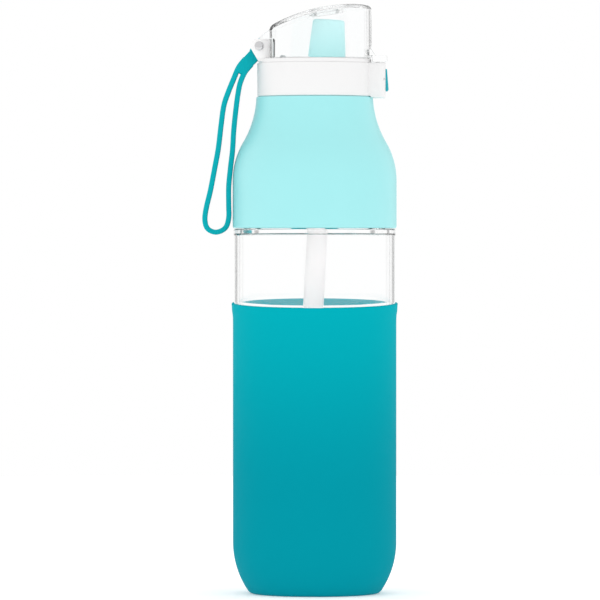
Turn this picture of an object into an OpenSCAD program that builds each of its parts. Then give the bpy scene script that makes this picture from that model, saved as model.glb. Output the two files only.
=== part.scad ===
/* [Glass] */
// Outer radius of the glass window above the sleeve
glass_r = 35.65; // [35.4:0.05:35.8]
// Height of the ledge that the shoulder stands on
glass_h = 160.3; // [159:0.1:162]
// Thickness of the glass wall
glass_wall = 2.3; // [2:0.1:2.6]
// Radius of the glass mouth's threaded neck
mouth_r = 30.4; // [30:0.1:30.6]

/* [Sleeve] */
// Outer radius of the straight silicone wall
sleeve_r = 35.95; // [35.8:0.05:36.05]
// Thickness of the silicone wall
sleeve_wall = 1.2; // [1:0.1:1.3]
// Height of the rim on the bottle's axis
sleeve_h = 128; // [126:0.5:129]
// Slant of the rim, low at the front
rim_slant = 3.5; // [0:0.5:4]

/* [Shoulder] */
// Outer radius of the shoulder's straight band
shoulder_r = 36.05; // [35.9:0.05:36.2]
// Height of the shoulder from the ledge to the lid
shoulder_h = 57.8; // [57:0.1:58.2]
// Radius of the bottle's drinking neck
neck_r = 20.3; // [20:0.1:20.5]

/* [Lid] */
// Outer radius of the lid's collar
collar_r = 25.2; // [25.1:0.05:25.4]
// Height of the collar
collar_h = 14.5; // [14:0.1:15]
// Thickness of the deck's rim over the collar
deck_rim = 2; // [1.8:0.1:2.1]
// How far the latch block reaches from the bottle's axis
block_reach = 31.1; // [30.9:0.1:31.4]
// Width of the latch block
block_w = 18; // [17:0.5:20]

/* [Dome] */
// Outer radius of the flip dome
dome_r = 25.05; // [24.9:0.05:25.2]
// Height of the dome's highest point above the base
dome_top = 258.7; // [258.4:0.1:260]
// Thickness of the dome's wall
dome_wall = 1.8; // [1.6:0.1:2]

/* [Hinge and strap] */
// Radius of the hinge pin
pin_r = 1.2; // [1.1:0.05:1.3]
// Width of the carry strap
strap_w = 9.6; // [8:0.2:9.6]
// Thickness of the strap's band
strap_t = 2.2; // [2:0.1:2.4]

/* [Spout and straw] */
// Lean of the spout and the straw towards the button
straw_lean = 3.1; // [2:0.1:4]
// Outer radius of the straw
straw_r = 4.5; // [4:0.1:4.6]
// Length of the straw
straw_len = 219; // [200:1:221]
// Height of the soft spout above the deck
spout_h = 16.2; // [15:0.1:16.4]

/* [Hidden] */
$fn = 96;

gap = 0.3;                // clearance between pieces that move past each other

// Heel of the sleeve and the glass: a wide arc into the wall, a tight one onto the base
heel_z = 22.7;
heel_r = 38;
heel_x = sleeve_r - heel_r;
foot_r = 3.5;
foot_x = heel_x + sqrt(pow(heel_r - foot_r, 2) - pow(heel_z - foot_r, 2));
heel_a = atan2(foot_r - heel_z, foot_x - heel_x);
sleeve_floor = 1.5;
lip_z = 122;              // where the glass steps out and the sleeve's lip begins to flare
lip_r = 36.7;

// Screw threads
thread_pitch = 4;
thread_turns = 1.5;
mouth_h = 172;
mouth_thread_r = mouth_r + 1.6;
neck_thread_r = neck_r + 1.1;

// Shoulder
shoulder_z = glass_h + gap;
shoulder_top = shoulder_z + shoulder_h;
neck_top = 230;
bell_z = 181.5;           // end of the straight band
bell_r2 = 42.4;           // hollow arc up to the lid, about [hollow_x, hollow_z]
hollow_x = 68;
hollow_z = 220;
// The convex arc starts upright at the band and has to touch the hollow arc
bell_r1 = (pow(hollow_x - shoulder_r, 2) + pow(hollow_z - bell_z, 2) - pow(bell_r2, 2))
    / (2 * (bell_r2 - hollow_x + shoulder_r));
bell_a = atan2(hollow_z - bell_z, hollow_x - shoulder_r + bell_r1);

// Lid
collar_z = 218.7;
collar_top = collar_z + collar_h;
deck_top = collar_top + deck_rim;
deck_r = collar_r - 0.25;
skirt_r = collar_r - 1.9;
block_z = 218;
slot_half = 5.2;

// Hinge
pin_x = -24.3;
pin_z = 240.5;
ear_in = 8.9;
ear_out = 10.6;
knuckle_in = 5.1;
knuckle_out = 6.5;
knuckle_r = 2.8;

// Latch
rocker_x = 30;
rocker_z = 226;
rocker_pin_r = 0.8;
button_half = 6;
button_top = 230.6;
button_bottom = 220.9;

// Dome
dome_z = deck_top + 0.2;
dome_flat = -19.8;        // flat rear wall
roof_r = 86.1;
roof_x = 19.7;
roof_z = dome_top - roof_r;

// Spout and straw share one leaning axis through the deck
spout_x = 5.33;
spout_z = 236.1;

// Centreline of the strap: down the inner strand, round the bottom and up the outer strand
strap_path = [[-27.6, 233], [-30.5, 229.6], [-32.5, 225.3], [-33.5, 221.1], [-34.6, 213.2],
              [-35.6, 203.5], [-36.1, 195.1], [-37, 187.4], [-37.8, 179], [-37.8, 170.6],
              [-37.8, 165.2], [-39.3, 160.8], [-43.3, 158.9], [-47, 160.4], [-48.3, 164],
              [-47.8, 169], [-45.8, 177.5], [-44, 186.9], [-42.4, 195.6], [-41.3, 204.8],
              [-40.1, 213.8], [-38.5, 219.2], [-35.6, 226.4], [-33.3, 231.6], [-30.2, 235.4]];

// Points along an arc about [cx, cz]
function arc(cx, cz, r, a0, a1, n) =
    [for (i = [0:n]) let (a = a0 + (a1 - a0) * i / n) [cx + r * cos(a), cz + r * sin(a)]];

// A smooth curve through all of p, three steps between neighbours
function spline(p) = concat(
    [for (i = [0:len(p) - 2], j = [0:2])
        let (a = p[max(i - 1, 0)], b = p[i], c = p[i + 1], d = p[min(i + 2, len(p) - 1)], t = j / 3)
        (2 * b + (c - a) * t + (2 * a - 5 * b + 4 * c - d) * t * t
            + (3 * b - a - 3 * c + d) * t * t * t) / 2],
    [p[len(p) - 1]]);

// Outline of a band of thickness t about the curve q
function side(q, i, d) =
    let (v = q[min(i + 1, len(q) - 1)] - q[max(i - 1, 0)], n = [-v[1], v[0]] / norm(v)) q[i] + n * d;
function band(q, t) =
    concat([for (i = [0:len(q) - 1]) side(q, i, t / 2)],
           [for (i = [len(q) - 1:-1:0]) side(q, i, -t / 2)]);

// A closed tube of k-sided rings
function ring_faces(rings, k) =
    concat([[for (j = [k - 1:-1:0]) j]],
           [for (i = [0:rings - 2], j = [0:k - 1])
               [i * k + j, i * k + (j + 1) % k, (i + 1) * k + (j + 1) % k, (i + 1) * k + j]],
           [[for (j = [0:k - 1]) (rings - 1) * k + j]]);

// Screw thread ridge from radius r0 to r1, starting at height z
module thread(r0, r1, z) {
    steps = 24 * thread_turns;
    section = [[r0, -1.1], [r1, -0.4], [r1, 0.4], [r0, 1.1]];
    points = [for (i = [0:steps], s = section)
                 let (a = i * 15, fade = min(1, (i + 0.4) / 3, (steps - i + 0.4) / 3),
                      r = r0 + (s[0] - r0) * fade)
                 [r * cos(a), r * sin(a), z + s[1] + thread_pitch * a / 360]];
    polyhedron(points, ring_faces(steps + 1, 4));
}

// Coil spring of mean radius r and wire radius w along +Z
module coil(r, w, length, turns) {
    steps = 16 * turns;
    points = [for (i = [0:steps], j = [0:7])
                 let (a = i * 22.5, b = j * 45, q = r + w * cos(b))
                 [q * cos(a), q * sin(a), w + (length - 2 * w) * i / steps + w * sin(b)]];
    polyhedron(points, ring_faces(steps + 1, 8));
}

module turn(points) rotate_extrude() polygon(points);

// An XZ outline filled from y0 to y1, and a twin across the middle for ears and knuckles
module slab(y0, y1) translate([0, y1, 0]) rotate([90, 0, 0]) linear_extrude(y1 - y0) children();
module both_sides() {
    children();
    mirror([0, 1, 0]) children();
}
module along_y(x, z, r, y0, y1) translate([x, y1, z]) rotate([90, 0, 0]) cylinder(h = y1 - y0, r = r);

// The frame of the leaning axis: its origin is where the axis leaves the deck
module leaning() translate([spout_x, 0, spout_z]) rotate([0, straw_lean, 0]) children();

module silicone_sleeve() color([0.0, 0.66, 0.73]) {
    inner_r = sleeve_r - sleeve_wall;
    difference() {
        turn(concat(
            [[0, 0]],
            arc(foot_x, foot_r, foot_r, -90, heel_a, 5),
            arc(heel_x, heel_z, heel_r, heel_a, 0, 10),
            [[sleeve_r, lip_z], [sleeve_r + 0.15, lip_z + 1.5], [lip_r, lip_z + 4.5], [lip_r, 140],
             [glass_r + gap, 140], [glass_r + gap, lip_z + 2], [inner_r, lip_z - 1]],
            arc(heel_x, heel_z, heel_r - sleeve_wall, 0, heel_a, 10),
            [[foot_x, sleeve_floor], [0, sleeve_floor]]));
        translate([0, 0, sleeve_h]) rotate([rim_slant, 0, 0]) translate([-50, -50, 0]) cube([100, 100, 30]);
    }
}

module glass_body() color([0.85, 0.95, 0.95, 0.4]) {
    low_r = sleeve_r - sleeve_wall - gap;
    shrink = sleeve_wall + gap;
    neck_in = mouth_r - 2.4;
    turn(concat(
        [[0, sleeve_floor + gap]],
        [[foot_x - 0.3, sleeve_floor + gap]],
        arc(heel_x, heel_z, heel_r - shrink, heel_a, 0, 10),
        [[low_r, lip_z - 0.5], [low_r + 0.4, lip_z + 0.8], [glass_r - 0.3, lip_z + 1.4],
         [glass_r, lip_z + 2]],
        arc(glass_r - 2.2, glass_h - 2.2, 2.2, 0, 90, 6),
        [[mouth_r, glass_h], [mouth_r, mouth_h - 0.6], [mouth_r - 0.6, mouth_h],
         [neck_in + 0.6, mouth_h], [neck_in, mouth_h - 0.6], [neck_in, glass_h + 1.2]],
        arc(glass_r - glass_wall - 4.5, glass_h - 6.5, 4.5, 65, 0, 6),
        [[glass_r - glass_wall, lip_z + 4], [low_r - glass_wall, lip_z - 4]],
        arc(heel_x, heel_z, heel_r - shrink - glass_wall, 0, -27, 8),
        [[26, 7.4], [18, 7.6], [0, 8.8]]));
    thread(mouth_r - 0.4, mouth_thread_r, 164);
}

module shoulder_gasket() color([0.95, 0.95, 0.95]) turn([
    [28.4, mouth_h + gap], [31.6, mouth_h + gap], [31.6, mouth_h + 2.3], [28.4, mouth_h + 2.3]]);

module shoulder() color([0.66, 0.94, 0.94]) {
    bore_r = mouth_thread_r + 0.4;
    seat_z = mouth_h + 2.6;
    neck_in = neck_r - 2.1;
    turn(concat(
        [[bore_r, shoulder_z]],
        arc(shoulder_r - 0.8, shoulder_z + 0.8, 0.8, -90, 0, 3),
        arc(shoulder_r - bell_r1, bell_z, bell_r1, 0, bell_a, 9),
        arc(hollow_x, hollow_z, bell_r2, 180 + bell_a, 182.2, 9),
        [[25.5, shoulder_top], [neck_r, shoulder_top], [neck_r, neck_top - 0.5],
         [neck_r - 0.5, neck_top], [neck_in + 0.4, neck_top], [neck_in, neck_top - 0.4],
         [neck_in, 217], [21.8, 213], [23.8, 208], [25.6, 203.5], [28.4, 198], [30.6, 193],
         [31.9, 187], [32.4, 181], [32, 178.5], [28.6, seat_z + 1.6], [28.6, seat_z],
         [bore_r, seat_z]]));
    thread(neck_r - 0.4, neck_thread_r, 221.4);
}

module lid_gasket() color([0.97, 0.97, 0.97]) turn([
    [18.6, neck_top + gap], [21.2, neck_top + gap], [21.2, neck_top + 1.9], [18.6, neck_top + 1.9]]);

// Rounded rectangle in plan that the latch block is cut from
module block_plan() {
    r = 3;
    translate([15, -block_w / 2 + r]) square([block_reach - 15, block_w - 2 * r]);
    translate([15, -block_w / 2]) square([block_reach - 15 - r, block_w]);
    for (s = [-1, 1]) translate([block_reach - r, s * (block_w / 2 - r)]) circle(r = r);
}

module lid_collar() color([0.96, 0.96, 0.96]) {
    difference() {
        union() {
            turn([[skirt_r, collar_z], [collar_r - 0.3, collar_z], [collar_r, collar_z + 0.3],
                  [collar_r, collar_top - 0.3], [collar_r - 0.3, collar_top], [skirt_r, collar_top]]);
            difference() {
                translate([0, 0, block_z]) linear_extrude(collar_top - block_z) block_plan();
                translate([0, 0, block_z - 1]) cylinder(h = 30, r = skirt_r + 0.6);
                translate([0, 0, block_z - 1]) cylinder(h = collar_z - block_z + 1, r = 26.1);
            }
        }
        // room for the rocker, its window, and the slot for the dome's catch
        translate([collar_r, -6.4, 219.2]) cube([29.9 - collar_r, 12.8, 13]);
        translate([27, -6.3, 220.3]) cube([10, 12.6, 10.6]);
        translate([25.3, -4.6, 230]) cube([3.1, 9.2, 10]);
        along_y(rocker_x, rocker_z, rocker_pin_r, -8.2, 8.2);
    }
}

module ear_outline() polygon([
    [-17.4, 234.4], [-17.4, 242.4], [-18.6, 243.6], [-26.2, 243.6], [-27.6, 242.4], [-28, 239.6],
    [-24.6, 233.6], [-20, 233.6]]);

module lid_deck() color([0.98, 0.98, 0.98]) {
    under = collar_top - 1;
    difference() {
        union() {
            turn([[0, under], [neck_r + 1.45, under], [neck_r + 1.45, collar_z + 0.8],
                  [skirt_r, collar_z + 0.8], [skirt_r, collar_top], [deck_r, collar_top],
                  [deck_r, deck_top - 0.4], [deck_r - 0.4, deck_top], [0, deck_top]]);
            leaning() translate([0, 0, -10]) cylinder(h = 7, r = 12);
            both_sides() slab(ear_in, ear_out) ear_outline();
        }
        leaning() translate([0, 0, -30]) cylinder(h = 40, r = 7.5);
        leaning() translate([0, 0, -30]) cylinder(h = 26.1, r = 10.3);
        translate([-30, -slot_half, collar_top]) cube([30 - 22, 2 * slot_half, 10]);
        translate([-14, 0, 220]) cylinder(h = 30, r = 1);
        along_y(pin_x, pin_z, pin_r, -20, 20);
    }
}

module spout() color([0.62, 0.9, 0.9]) leaning() turn([
    [3.2, -5.5], [10, -5.5], [10, -3.9], [7.5, -3.9], [7.5, -0.45], [8.05, -0.45], [7.9, 3],
    [6.75, spout_h - 1], [6.2, spout_h], [3, spout_h], [2.4, spout_h - 1], [2.4, 6], [3.2, 2]]);

module spout_retainer() color([0.97, 0.97, 0.97]) leaning() turn([
    [3.2, -7], [3.2, -5.5], [10.3, -5.5], [10.3, -9.5], [6.3, -9.5], [6.3, -20], [straw_r, -20],
    [straw_r, -7]]);

module straw() color([0.95, 0.96, 0.96, 0.6]) leaning() turn([
    [straw_r, -7 - straw_len], [straw_r, -7], [straw_r - 0.9, -7], [straw_r - 0.9, -7 - straw_len]]);

module vent_valve() color([0.9, 0.9, 0.9]) translate([-14, 0, 0]) turn([
    [0, 231.4], [3.2, 231.4], [3.2, 231.7], [1.6, 232.2], [1, 232.2], [1, deck_top],
    [1.5, deck_top], [1.3, deck_top + 1], [0.6, deck_top + 1.6], [0, deck_top + 1.6]]);

module hinge_pin() color([0.8, 0.8, 0.82]) {
    along_y(pin_x, pin_z, pin_r, -ear_out, ear_out);
    along_y(pin_x, pin_z, 2, -ear_out - 0.8, -ear_out);
}

module hinge_pin_cap() color([0.8, 0.8, 0.82]) along_y(pin_x, pin_z, 2, ear_out, ear_out + 0.8);

module hinge_spring() color([0.7, 0.7, 0.72])
    both_sides() translate([pin_x, ear_in - 0.1, pin_z]) rotate([90, 0, 0]) coil(2, 0.2, 2, 3);

module latch_pin() color([0.75, 0.75, 0.77]) along_y(rocker_x, rocker_z, rocker_pin_r, -8.2, 8.2);

module latch_spring() color([0.7, 0.7, 0.72])
    translate([collar_r, 0, 222.9]) rotate([0, 90, 0]) coil(1.5, 0.2, 29.2 - collar_r, 4);

module latch_button() color([0.0, 0.64, 0.7]) difference() {
    union() {
        slab(-button_half, button_half) polygon([
            [32, button_bottom], [32.45, button_bottom + 0.4], [31.75, button_top],
            [29.6, button_top], [29.2, 229], [29.2, button_bottom]]);
        slab(-4, 4) polygon([[29.4, 227.4], [29.6, button_top], [28.8, button_top], [28.8, 231.5],
                             [27.6, 231.5], [27.6, 230.9], [28.2, 228]]);
        along_y(rocker_x, rocker_z, 1.6, -button_half, button_half);
    }
    along_y(rocker_x, rocker_z, rocker_pin_r + 0.06, -20, 20);
}

// Space inside the wall at distance d from the dome's outer skin
module dome_form(d, bottom) intersection() {
    translate([0, 0, bottom]) cylinder(h = 60, r = dome_r - d);
    translate([dome_flat + d, -50, bottom]) cube([100, 100, 60]);
    along_y(roof_x, roof_z, roof_r - d, -50, 50, $fn = 360);
}

module dome_cover() color([0.92, 0.95, 0.95, 0.35]) {
    difference() {
        union() {
            difference() {
                dome_form(0, dome_z);
                dome_form(dome_wall, dome_z - 1);
            }
            intersection() {
                dome_form(0.5, dome_z);
                translate([4.9, 0, 254.25]) rotate([0, -7.8, 0]) difference() {
                    cylinder(h = 20, r = 7.7);
                    translate([0, 0, -1]) cylinder(h = 30, r = 6.3);
                }
            }
            slab(-7, 7) polygon([[23.6, 236.2], [25.3, 236.2], [25.3, 233.6], [31.6, 233.6],
                                 [31.9, 234], [31.7, 236.2], [31.4, 236.5], [26.4, 236.5],
                                 [25, 238], [23.6, 238]]);
            slab(-4, 4) polygon([[25.6, 234], [25.6, 229.8], [27, 229.8], [27, 230.4],
                                 [26.6, 230.6], [26.6, 234]]);
        }
        translate([-30, -ear_out - gap, 230]) cube([13, 2 * (ear_out + gap), 13.9]);
    }
    both_sides() slab(knuckle_in, knuckle_out) difference() {
        union() {
            translate([pin_x, pin_z]) circle(r = knuckle_r);
            polygon([[-26.2, 242.6], [-19.2, 248.6], [-18.6, 248.6], [-18.6, 244.2], [-22.6, 238.3]]);
        }
        translate([pin_x, pin_z]) circle(r = pin_r + 0.06);
    }
}

module spout_seal() color([0.9, 0.93, 0.93, 0.7]) intersection() {
    dome_form(dome_wall, dome_z);
    translate([4.9, 0, 254.25]) rotate([0, -7.8, 0]) translate([0, 0, 0.1]) cylinder(h = 20, r = 6.3);
}

// One band whose two ends meet in a thick tab, and the tab's run into the eye
module carry_strap() color([0.07, 0.68, 0.74]) difference() {
    union() {
        strap_slab() polygon(band(spline(strap_path), strap_t));
        strap_slab() polygon([[-23.9, 236.4], [-30.6, 229.2], [-32.3, 228.7], [-34.6, 230.2],
                              [-27.6, 238.6], [-25.6, 239.6]]);
        strap_slab() polygon([[-21.9, 239], [-24.2, 235.2], [-28.6, 238.8], [-26.7, 242]]);
        along_y(pin_x, pin_z, knuckle_r, -strap_w / 2, strap_w / 2);
    }
    along_y(pin_x, pin_z, pin_r + gap, -20, 20);
}
module strap_slab() slab(-strap_w / 2, strap_w / 2) children();

silicone_sleeve();
glass_body();
shoulder_gasket();
shoulder();
lid_gasket();
lid_collar();
lid_deck();
spout();
spout_retainer();
straw();
vent_valve();
hinge_pin();
hinge_pin_cap();
hinge_spring();
latch_pin();
latch_spring();
latch_button();
dome_cover();
spout_seal();
carry_strap();
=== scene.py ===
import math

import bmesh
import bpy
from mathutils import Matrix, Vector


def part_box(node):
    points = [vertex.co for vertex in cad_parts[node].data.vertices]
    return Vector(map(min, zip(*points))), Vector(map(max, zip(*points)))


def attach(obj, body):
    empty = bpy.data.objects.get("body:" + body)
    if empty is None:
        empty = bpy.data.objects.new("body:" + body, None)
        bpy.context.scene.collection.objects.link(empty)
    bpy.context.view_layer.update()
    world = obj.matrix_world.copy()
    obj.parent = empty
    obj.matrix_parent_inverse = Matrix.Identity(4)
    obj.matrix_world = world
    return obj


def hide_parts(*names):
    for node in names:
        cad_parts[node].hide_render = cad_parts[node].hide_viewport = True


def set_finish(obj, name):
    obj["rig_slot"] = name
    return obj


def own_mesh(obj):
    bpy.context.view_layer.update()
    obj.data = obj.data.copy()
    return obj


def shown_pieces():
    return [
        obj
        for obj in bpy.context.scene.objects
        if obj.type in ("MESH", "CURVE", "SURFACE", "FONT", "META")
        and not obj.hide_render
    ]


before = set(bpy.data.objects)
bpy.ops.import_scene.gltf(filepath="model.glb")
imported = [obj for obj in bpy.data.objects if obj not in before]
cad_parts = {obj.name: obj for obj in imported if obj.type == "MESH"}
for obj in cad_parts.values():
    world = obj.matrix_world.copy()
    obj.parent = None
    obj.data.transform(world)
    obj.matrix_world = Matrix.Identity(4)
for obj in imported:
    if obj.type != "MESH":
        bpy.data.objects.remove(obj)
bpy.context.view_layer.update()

# %% [markdown]
# # A glass water bottle, piece by piece
# The imported model gives the sizes, the places and the moving bodies. This lesson builds the finished
# skin around it: a glass flask in a silicone sleeve, a pastel shoulder, a white lid with a latch and a
# hinge, a clear dome over a soft spout, a straw and a carry strap. Every size is in millimetres and is
# turned into metres once, by MM.

MM = 0.001


def node_box(node):
    """Lowest and highest corner of a node, in millimetres."""
    low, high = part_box(node)
    return low / MM, high / MM


# %% [markdown]
# ## Camera
# A bottle is drawn best from far away with a long lens, because its sides then stay parallel. The
# camera stands two and a half metres off, at the height of the window, and looks very slightly down.

# %% Camera
VIEW_X = -6.45
VIEW_DISTANCE = 2500
VIEW_HEIGHT = 151
VIEW_AIM = 129.1
FRAME_WIDTH = 264

camera_data = bpy.data.cameras.new("camera")
camera_data.sensor_width = 36
camera_data.lens = camera_data.sensor_width * VIEW_DISTANCE / FRAME_WIDTH
camera_data.clip_end = 20
camera = bpy.data.objects.new("camera", camera_data)
bpy.context.scene.collection.objects.link(camera)
camera.location = Vector((VIEW_X, -VIEW_DISTANCE, VIEW_HEIGHT)) * MM
aim = Vector((VIEW_X, 0, VIEW_AIM)) * MM
camera.rotation_euler = (aim - camera.location).to_track_quat("-Z", "Y").to_euler()
bpy.context.scene.camera = camera
print("lens", round(camera_data.lens), "mm")

# %% [markdown]
# ## Helpers for modelling
# Operators work on whatever is selected, so each helper clears the selection first. `turned` is the
# lathe: one ring of points is pulled along an outline, ring after ring, as a potter pulls up a wall.
# `traced` draws an outline point by point and pulls it into a plate. `carve` cuts or joins two solids.


# %% Selection and edit mode
def deselect():
    if bpy.context.object and bpy.context.object.mode != "OBJECT":
        bpy.ops.object.mode_set(mode="OBJECT")
    bpy.ops.object.select_all(action="DESELECT")


def edit_mode():
    bpy.ops.object.mode_set(mode="EDIT")


def everything():
    bpy.ops.mesh.select_all(action="SELECT")


def pull(x, y, z):
    """Extrudes the selection by a step in metres."""
    bpy.ops.mesh.extrude_region_move(TRANSFORM_OT_translate={"value": (x, y, z)})


def take(piece):
    """Selects one piece alone and makes it the active one."""
    deselect()
    piece.select_set(True)
    bpy.context.view_layer.objects.active = piece


def select_where(piece, kind, test):
    """In edit mode, selects only the verts, edges or faces that pass the test."""
    bpy.ops.mesh.select_mode(type={"verts": "VERT", "edges": "EDGE", "faces": "FACE"}[kind])
    bpy.ops.mesh.select_all(action="DESELECT")
    shape = bmesh.from_edit_mesh(piece.data)
    chosen = 0
    for element in getattr(shape, kind):
        if test(element):
            element.select_set(True)
            chosen += 1
    bmesh.update_edit_mesh(piece.data)
    return chosen


def close_up(piece):
    """Merges doubles, turns the faces outwards and leaves edit mode."""
    everything()
    bpy.ops.mesh.remove_doubles(threshold=0.002 * MM)
    bpy.ops.mesh.normals_make_consistent(inside=False)
    bpy.ops.object.mode_set(mode="OBJECT")


def close_ends(piece):
    """Fills the two open ends of a sweep."""
    edit_mode()
    bpy.ops.mesh.select_mode(type="EDGE")
    bpy.ops.mesh.select_all(action="DESELECT")
    bpy.ops.mesh.select_non_manifold()
    bpy.ops.mesh.fill_holes(sides=0)
    close_up(piece)
    return piece


def smooth(piece, angle=32):
    take(piece)
    bpy.ops.object.shade_smooth_by_angle(angle=math.radians(angle))


def arc(x, z, radius, start, end, steps):
    """Points of an arc in the plane of the outline, angles in degrees from +X towards +Z."""
    angles = [math.radians(start + (end - start) * i / steps) for i in range(steps + 1)]
    return [(x + radius * math.cos(a), z + radius * math.sin(a)) for a in angles]


def curve_through(points, steps):
    """A smooth curve through every point, with the given steps between neighbours."""
    path = []
    for i in range(len(points) - 1):
        a, b = Vector(points[max(i - 1, 0)]), Vector(points[i])
        c, d = Vector(points[i + 1]), Vector(points[min(i + 2, len(points) - 1)])
        for t in [s / steps for s in range(steps)]:
            path.append((2 * b + (c - a) * t + (2 * a - 5 * b + 4 * c - d) * t * t
                         + (3 * b - a - 3 * c + d) * t ** 3) / 2)
    return path + [Vector(points[-1])]


# %% The lathe
def turned(name, outline, closed=False, sides=128):
    """A turned piece from (radius, height) points; closed joins the last ring to the first."""
    deselect()
    radius, height = outline[0]
    bpy.ops.mesh.primitive_circle_add(vertices=sides, radius=radius * MM, location=(0, 0, height * MM))
    piece = bpy.context.object
    piece.name = name
    bpy.ops.object.transform_apply(location=True)
    edit_mode()
    everything()
    for next_radius, next_height in outline[1:]:
        pull(0, 0, (next_height - height) * MM)
        grow = next_radius / radius
        middle = (0, 0, next_height * MM)
        bpy.ops.transform.resize(value=(grow, grow, 1), center_override=middle)
        radius, height = next_radius, next_height
    bpy.ops.mesh.select_all(action="DESELECT")
    bpy.ops.mesh.select_mode(type="EDGE")
    bpy.ops.mesh.select_non_manifold(use_wire=False, use_multi_face=False, use_verts=False)
    if closed:
        bpy.ops.mesh.bridge_edge_loops()
    else:
        bpy.ops.mesh.fill_holes(sides=0)
    close_up(piece)
    return piece


# %% The outline plate
def drawn(name, points, y):
    """A line through XZ points in mm at one place along Y, left selected in edit mode."""
    deselect()
    bpy.ops.mesh.primitive_plane_add(size=MM)
    piece = bpy.context.object
    piece.name = name
    edit_mode()
    bpy.ops.mesh.select_mode(type="VERT")
    everything()
    bpy.ops.mesh.merge(type="CENTER")
    x, z = points[0]
    bpy.ops.transform.translate(value=(x * MM, y * MM, z * MM))
    for next_x, next_z in points[1:]:
        pull((next_x - x) * MM, 0, (next_z - z) * MM)
        x, z = next_x, next_z
    everything()
    return piece


def traced(name, outline, low_y, high_y, edge=0.0, segments=3):
    """An XZ outline in mm drawn point by point, filled, pulled along Y, its rims rounded by edge."""
    piece = drawn(name, outline, low_y)
    bpy.ops.mesh.edge_face_add()
    pull(0, (high_y - low_y) * MM, 0)
    everything()
    bpy.ops.mesh.normals_make_consistent(inside=False)
    if edge:
        def on_rim(e):
            ys = [v.co.y for v in e.verts]
            return abs(ys[0] - ys[1]) < 0.01 * MM
        select_where(piece, "edges", on_rim)
        bpy.ops.mesh.bevel(offset=edge * MM, segments=segments, affect="EDGES")
    close_up(piece)
    return piece


# %% The block and the round bar
def block(name, low, high, upright=0.0, edge=0.0):
    """A box between two corners in mm, its upright edges rounded first and then its rims."""
    deselect()
    middle = [(a + b) / 2 * MM for a, b in zip(low, high)]
    bpy.ops.mesh.primitive_cube_add(size=1, location=middle)
    piece = bpy.context.object
    piece.name = name
    piece.scale = [(b - a) * MM for a, b in zip(low, high)]
    bpy.ops.object.transform_apply(location=True, scale=True)
    edit_mode()
    if upright:
        select_where(piece, "edges", lambda e: abs(e.verts[0].co.z - e.verts[1].co.z) > 0.1 * MM)
        bpy.ops.mesh.bevel(offset=upright * MM, segments=8, affect="EDGES")
    if edge:
        select_where(piece, "edges", lambda e: abs(e.verts[0].co.z - e.verts[1].co.z) < 0.001 * MM)
        bpy.ops.mesh.bevel(offset=edge * MM, segments=3, affect="EDGES")
    close_up(piece)
    return piece


def shift(piece, x=0, y=0, z=0):
    """Moves a piece's points by a step in mm."""
    piece.data.transform(Matrix.Translation((x * MM, y * MM, z * MM)))
    return piece


def across(piece, x, z):
    """Lays a turned piece along Y, its old base at y = 0 and its axis through (x, z)."""
    turn = Matrix.Translation(Vector((x, 0, z)) * MM) @ Matrix.Rotation(math.radians(-90), 4, "X")
    piece.data.transform(turn)
    return piece


def carve(piece, tool, how="DIFFERENCE"):
    take(piece)
    step = piece.modifiers.new("carve", "BOOLEAN")
    step.operation = how
    step.solver = "EXACT"
    step.object = tool
    bpy.ops.object.modifier_apply(modifier=step.name)
    bpy.data.objects.remove(tool, do_unlink=True)
    return piece


def join_on(piece, tool):
    return carve(piece, tool, "UNION")


def finished(piece, body, slot, *nodes, angle=32):
    """Smooths a piece, says what it rides on, its finish and the nodes that it stands for."""
    smooth(piece, angle)
    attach(piece, body)
    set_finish(piece, slot)
    if nodes:
        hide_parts(*nodes)
    print(f"{piece.name}: {len(piece.data.vertices)} points on {body}")
    return piece


# %% [markdown]
# ## Thread
# A bottle thread is a low ridge that climbs as it goes round. A small trapezium is swept by the Screw
# modifier, which lifts it by one pitch for each turn; its two ends are closed and buried in the neck.

# %% Thread ridge
THREAD_PITCH = 4
THREAD_TURNS = 1.5


def thread_ridge(inner, outer, height):
    """A helical ridge between two radii, starting at a height."""
    ridge = traced("ridge", [(inner, height - 1.1), (outer, height - 0.35), (outer, height + 0.35),
                             (inner, height + 1.1)], 0, 0.02)
    take(ridge)
    edit_mode()
    select_where(ridge, "faces", lambda f: abs(f.normal.y) < 0.5 or f.normal.y > 0.5)
    bpy.ops.mesh.delete(type="FACE")
    bpy.ops.object.mode_set(mode="OBJECT")
    sweep = ridge.modifiers.new("sweep", "SCREW")
    sweep.angle = math.tau * THREAD_TURNS
    sweep.screw_offset = THREAD_PITCH * THREAD_TURNS * MM
    sweep.steps = sweep.render_steps = 96
    sweep.use_smooth_shade = False
    bpy.ops.object.modifier_apply(modifier=sweep.name)
    return close_ends(ridge)


# %% [markdown]
# ## Silicone sleeve
# The sleeve is a thick silicone boot that the glass drops into. Its wall is nearly straight, a long
# soft curve leads into the heel, and the lip swells where it climbs over the step in the glass. It is
# turned like a pot, and then the lip's rings are tipped, because the rim is cut low at the front and
# rises a little faster behind the middle.

# %% Sleeve
SLEEVE_R = 35.95
SLEEVE_WALL = 1.2
LIP_R = node_box("silicone_sleeve")[1].x - 0.13
LIP_Z = 127.7
TIPPED_FROM = 125.8
FRONT_SLANT, BACK_SLANT = 2.8, 4.2
HEEL_R = 38
HEEL_Z = 22.7
HEEL_X = SLEEVE_R - HEEL_R
FOOT_R = 3.5
FOOT_X = HEEL_X + math.sqrt((HEEL_R - FOOT_R) ** 2 - (HEEL_Z - FOOT_R) ** 2)
HEEL_ANGLE = math.degrees(math.atan2(FOOT_R - HEEL_Z, FOOT_X - HEEL_X))
FLOOR_Z = 1.5

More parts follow.
